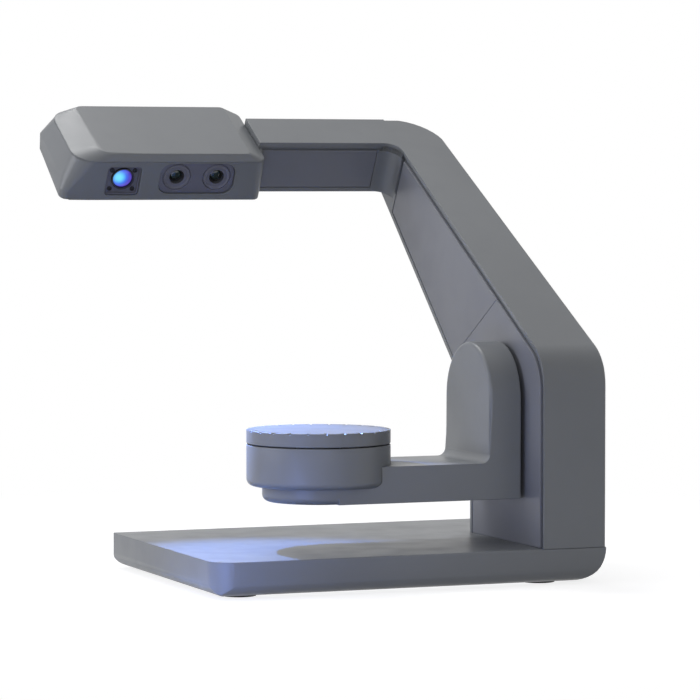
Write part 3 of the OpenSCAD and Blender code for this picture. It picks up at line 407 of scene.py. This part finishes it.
def cadCopy(node):
    # the node's own shape, with its loose triangles joined
    bm = bmesh.new()
    bm.from_mesh(cadNodes[node].data)
    bmesh.ops.remove_doubles(bm, verts=bm.verts, dist=joinGap["cad"] * mm)
    bmesh.ops.dissolve_limit(bm, angle_limit=radians(flatAngle), verts=bm.verts, edges=bm.edges)
    return bm


def markEdges(bm, width, angle, special):
    # gives each sharp edge its rounding as a share of the widest one, and returns that widest one
    share = bm.edges.layers.float.new("bevel_weight_edge")
    widest = max([width] + [entry[0] for entry in special])
    back = {"upright": upright.inverted(), "leaning": leaning.inverted()}
    for edge in bm.edges:
        if len(edge.link_faces) != 2 or edge.calc_face_angle(0) < radians(angle):
            continue
        middle = (edge.verts[0].co + edge.verts[1].co) / 2
        own = width
        for wide, matrix, low, high in special:
            spot = back[matrix] @ middle
            if all(low[i] <= spot[i] <= high[i] for i in range(3)):
                own = wide
                break
        edge[share] = own / widest
    return widest


def finishPiece(bm, name, nodes, place=None, edge=0.0, rounds=3, angle=32, slot=None, body=None, special=()):
    # slot and body are those of the node that the piece replaces, unless they are given
    if place is not None:
        bm.transform(place)
    if edge or special:
        edge = markEdges(bm, edge, angle, special)
    mesh = bpy.data.meshes.new(name)
    bm.to_mesh(mesh)
    bm.free()
    piece = bpy.data.objects.new(name, mesh)
    bpy.context.scene.collection.objects.link(piece)
    slot = slot or slotOf[nodes[0]]
    mesh.materials.append(finishes[slot])
    mesh.shade_smooth()
    mesh.set_sharp_from_angle(angle=radians(angle))
    if edge:
        bevel = piece.modifiers.new("roundedEdges", "BEVEL")
        bevel.width = edge * mm
        bevel.segments = rounds
        bevel.limit_method = "WEIGHT"
        bevel.use_clamp_overlap = False
        bevel.harden_normals = True
    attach(piece, body or bodyOf[nodes[0]])
    if nodes:
        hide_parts(*nodes)


def spun(profile, steps):
    # a round shape about Z, in millimetres, from a few points of radius and height
    bm = bmesh.new()
    spots = [bm.verts.new((radius, 0, height)) for radius, height in profile]
    edges = [bm.edges.new(pair) for pair in zip(spots, spots[1:])]
    bmesh.ops.spin(bm, geom=spots + edges, cent=(0, 0, 0), axis=(0, 0, 1), angle=2 * pi,
                   steps=steps, use_merge=True)
    bmesh.ops.remove_doubles(bm, verts=bm.verts, dist=joinGap["spun"])
    bmesh.ops.recalc_face_normals(bm, faces=bm.faces)
    return bm


def spunAt(profile, x, y, steps=72):
    bm = spun(profile, steps)
    bm.transform(Matrix.Translation((x, y, 0)))
    return bm


def joined(parts):
    # several loose shapes as one
    whole = bmesh.new()
    for part in parts:
        mesh = bpy.data.meshes.new("loosePart")
        part.to_mesh(mesh)
        part.free()
        whole.from_mesh(mesh)
        bpy.data.meshes.remove(mesh)
    return whole


def arc(centre, radius, fromAngle, toAngle, steps):
    turns = [radians(fromAngle + (toAngle - fromAngle) * i / steps) for i in range(steps + 1)]
    return [(centre[0] + radius * cos(turn), centre[1] + radius * sin(turn)) for turn in turns]


def roundedFace(bm, low, high, radius, height, steps=8):
    # a flat face with round corners
    spots = [(low[0], low[1]), (high[0], low[1]), (high[0], high[1]), (low[0], high[1])]
    corners = [bm.verts.new((x, y, height)) for x, y in spots]
    bm.faces.new(corners)
    bmesh.ops.bevel(bm, geom=corners, offset=radius, segments=steps, profile=0.5,
                    affect="VERTICES", material=-1)
    return bm.faces[:][0]


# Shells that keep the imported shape. The number is the rounding of their edges in millimetres, 0 where they
# stay sharp, and the list gives wider ones: width, frame, and the corners of the space where it holds
shells = {
    "base_cover": ("baseCover", 0, []),
    "frame_shell": ("frameShell", 0, [
        (2.4, "upright", (264.5, -1, 24), (265.5, 40, 165)),
        (2.4, "leaning", (258, -1, -2), (266, 300, 2)),
    ]),
    "inner_panel_lower": ("innerPanelLower", 0.35, []),
    "inner_panel_upper": ("innerPanelUpper", 0.35, []),
    "arm_panel": ("armPanel", 0.35, []),
    "head_shell": ("headShell", 0, [(1.5, "leaning", (-25, 250, -45), (-10, 340, -25))]),
    "swing_shell": ("swingShell", 0, [(2.4, "upright", (196.3, 0, 84), (196.8, 140, 160))]),
    "arm_cover": ("armCover", 0.4, []),
    "arch_cover": ("archCover", 0.4, []),
    "port_panel": ("portPanel", 0.3, []),
    "head_cover": ("headCover", 0.35, [
        (5.0, "leaning", (-1, 273, -0.1), (1.5, 330, 0.1)),
        (2.5, "leaning", (-1, 255, -0.1), (14, 276, 0.1)),
    ]),
    "turntable": ("turntable", 0.4, []),
    "power_button": ("powerButton", 0.5, []),
}
for node, (name, edge, special) in shells.items():
    finishPiece(cadCopy(node), name, [node], edge=edge, special=special)
print("shells made:", len(shells))


# Round pieces, spun from their profiles in millimetres of radius and height
drum = {
    "radius": 46, "height": 26.3, "wall": 3, "floor": 3,
    "footRound": 4.5, "rimRound": 0.6, "chamfer": 0.3,
}


def makeDrum(values):
    # a cup with a rounded foot, and a rim that is rounded outside and chamfered inside
    low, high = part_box("drum")
    place = Matrix.Translation(((low.x + high.x) / 2, (low.y + high.y) / 2, low.z)) @ Matrix.Scale(mm, 4)
    radius, height, chamfer = values["radius"], values["height"], values["chamfer"]
    under, over = values["footRound"], values["rimRound"]
    inner = radius - values["wall"]
    outside = [(0, 0)] + arc((radius - under, under), under, -90, 0, 10)
    rim = arc((radius - over, height - over), over, 0, 90, 4)
    rim += [(inner + chamfer, height), (inner, height - chamfer)]
    inside = [(inner, values["floor"]), (0, values["floor"])]
    finishPiece(spun(outside + rim + inside, 128), "drum", ["drum"], place)


makeDrum(drum)

foot = {"radius": 11, "height": 2.7, "edge": 0.6, "groove": (7.2, 7.8, 8.4), "sunk": 0.35}


def makeFeet(values):
    # flat rubber discs with a rounded edge and a shallow ring underneath
    low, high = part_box("feet")
    radius, edge, groove = values["radius"], values["edge"], values["groove"]
    under = [(0, 0), (groove[0], 0), (groove[1], values["sunk"]), (groove[2], 0)]
    side = arc((radius - edge, edge), edge, -90, 0, 5) + [(radius, values["height"]), (0, values["height"])]
    places = [(x, y)
              for x in (low.x / mm + radius, high.x / mm - radius)
              for y in (low.y / mm + radius, high.y / mm - radius)]
    discs = joined([spunAt(under + side, x, y, 64) for x, y in places])
    finishPiece(discs, "feet", ["feet"], Matrix.Translation((0, 0, low.z)) @ Matrix.Scale(mm, 4))


makeFeet(foot)
print("round pieces made")


# Optics on the lens face, in millimetres: x along the head, y out of its top, z straight out of the face
lensFace = leaning @ Matrix.Translation((0, slope["lensFace"], 0)) @ Matrix.Rotation(radians(90), 4, "X")
projector = {
    "middle": (18.5, -19),      # of the lens
    "low": (6.65, -30.85), "high": (30.35, -9.15), "corner": 2.85,
    "front": -1.0, "back": -4.0,
    "rim": 0.9, "chamfer": 0.7, "depth": 1.7, "edge": 0.18,
}


def makeProjectorTray(values):
    # a plate with rounded corners, a chamfered rim and a sunk middle
    bm = bmesh.new()
    face = roundedFace(bm, values["low"], values["high"], values["corner"], values["back"])
    walls = bmesh.ops.extrude_face_region(bm, geom=[face])
    top = [item for item in walls["geom"] if isinstance(item, bmesh.types.BMFace)][0]
    bmesh.ops.translate(bm, verts=top.verts, vec=(0, 0, values["front"] - values["back"]))
    bmesh.ops.inset_region(bm, faces=[top], thickness=values["rim"])
    bmesh.ops.inset_region(bm, faces=[top], thickness=values["chamfer"], depth=-values["depth"])
    bmesh.ops.recalc_face_normals(bm, faces=bm.faces)
    finishPiece(bm, "projectorBezel", ["projector_bezel"], lensFace, edge=values["edge"], rounds=2, angle=25)


makeProjectorTray(projector)
finishPiece(cadCopy("camera_bezel"), "cameraBezel", ["camera_bezel"], edge=0.5)

cameras = {
    "xs": (56.5, 85.0), "y": -17.3,
    "front": -1.0, "sunk": 0.3,
    "ring": (9.6, 8.8, 7.6),    # radii of its outside, its crest and the collar in it
    "ringHeight": 0.75, "lip": 0.35, "behind": 0.4,
    "collarHeight": 0.05,
    "mouth": 5.2, "mouthWider": 0.25, "mouthDeep": 0.2,
    "throat": 4.1, "throatDeep": 3.2, "tube": 0.8,
    "lensGap": 0.3,             # between the throat and the lens
}


def makeCameraRings(values):
    # a raised ring, a flat collar and a cone that narrows to the lens
    base = values["front"] - values["sunk"]
    top, flat = base + values["ringHeight"], base + values["collarHeight"]
    bottom = base - values["throatDeep"]
    outer, crest, collar = values["ring"]
    mouth, throat, lip = values["mouth"], values["throat"], values["lip"]
    profile = [(outer, base - values["behind"]), (outer, base)] + arc((crest, top - lip), lip, 45, 135, 4)
    profile += [(collar, flat), (mouth + values["mouthWider"], flat), (mouth, base - values["mouthDeep"])]
    profile += [(throat, bottom), (throat, bottom - values["tube"]), profile[0]]
    rings = joined([spunAt(profile, x, values["y"]) for x in values["xs"]])
    finishPiece(rings, "cameraBarrels", ["camera_barrels"], lensFace, slot="bezel_grey")


lining = {"proud": 0.02, "thick": 0.1, "step": 0.25, "sill": 0.6, "behind": 0.05, "lip": 0.25}


def makeCameraCones(values, skin):
    # the black lining of each cone, with a fine step halfway down and a sill round the lens
    base = values["front"] - values["sunk"] + skin["proud"]
    bottom, under = base - values["throatDeep"], base - values["throatDeep"] - skin["thick"]
    mouth, throat, sill = values["mouth"], values["throat"], values["throat"] - skin["sill"]
    middle, halfway = (mouth + throat) / 2, base - values["throatDeep"] * 0.5
    profile = [(mouth - skin["thick"], base), (middle, halfway), (middle - skin["step"], halfway)]
    profile += [(throat - skin["thick"], bottom), (sill, bottom), (sill, under)]
    profile += [(throat - skin["behind"], under), (mouth - skin["behind"], base - skin["lip"]), profile[0]]
    cones = joined([spunAt(profile, x, values["y"]) for x in values["xs"]])
    finishPiece(cones, "cameraCones", [], lensFace, slot="black_plastic", body="root")


makeCameraRings(cameras)
makeCameraCones(cameras, lining)

lenses = {
    "cameraLenses": {
        "node": "camera_lenses", "places": [(x, cameras["y"]) for x in cameras["xs"]],
        "radius": cameras["throat"] - cameras["lensGap"], "rim": -4.4, "bulge": 1.0, "thick": 0.6,
    },
    "projectorLens": {
        "node": "projector_lens", "places": [projector["middle"]],
        "radius": 6.4, "rim": -2.6, "bulge": 1.5, "thick": 0.6,
    },
}


def makeLens(name, values, steps=10):
    # a shallow dome of glass with a flat back
    radius, rim, back = values["radius"], values["rim"], values["rim"] - values["thick"]
    turns = [pi / 2 * i / steps for i in range(steps + 1)]
    dome = [(radius * sin(turn), rim + values["bulge"] * cos(turn)) for turn in turns]
    domes = joined([spunAt(dome + [(radius, back), (0, back)], x, y) for x, y in values["places"]])
    finishPiece(domes, name, [values["node"]], lensFace)


for name, values in lenses.items():
    makeLens(name, values)

# each point inside the ring is given by how far in and how far back it lies from the outer front edge
projectorRing = {"radius": 8.0, "lip": 0.3, "deep": 2.4, "inside": [(0.8, 0.1), (1.2, 1.4), (1.4, 2.4)]}


def makeProjectorRing(values, front, middle):
    # a thin ring round the lens, with a rounded lip
    radius, lip = values["radius"], values["lip"]
    profile = [(radius, front - values["deep"]), (radius, front - lip)]
    profile += arc((radius - lip, front - lip), lip, 0, 90, 4)
    profile += [(radius - across, front - back) for across, back in values["inside"]] + [profile[0]]
    finishPiece(spunAt(profile, *middle), "projectorBarrel", ["projector_barrel"], lensFace)


makeProjectorRing(projectorRing, projector["front"], projector["middle"])

bezelScrew = {
    "fromMiddle": (8.0, 7.0),   # of the tray
    "head": 1.6, "height": 0.9, "edge": 0.3,
    "socket": 0.75, "socketDeep": 0.6, "chamfer": 0.1, "sunk": 0.1,
}


def makeBezelScrews(values, tray):
    # four socket screws that stand on the floor of the projector's recess
    head, socket, edge, chamfer = values["head"], values["socket"], values["edge"], values["chamfer"]
    floor = tray["front"] - tray["depth"]
    top, foot = floor + values["height"], floor - values["sunk"]
    bottom = top - values["socketDeep"]
    hole = [(0, bottom), (socket, bottom), (socket, top - chamfer), (socket + chamfer, top)]
    profile = hole + arc((head - edge, top - edge), edge, 90, 0, 4) + [(head, foot), (0, foot)]
    xs, ys = [[(low + high) / 2 - away, (low + high) / 2 + away]
              for low, high, away in zip(tray["low"], tray["high"], values["fromMiddle"])]
    screws = joined([spunAt(profile, x, y, 32) for x in xs for y in ys])
    finishPiece(screws, "bezelScrews", ["bezel_screws"], lensFace)


makeBezelScrews(bezelScrew, projector)
print("optics made")
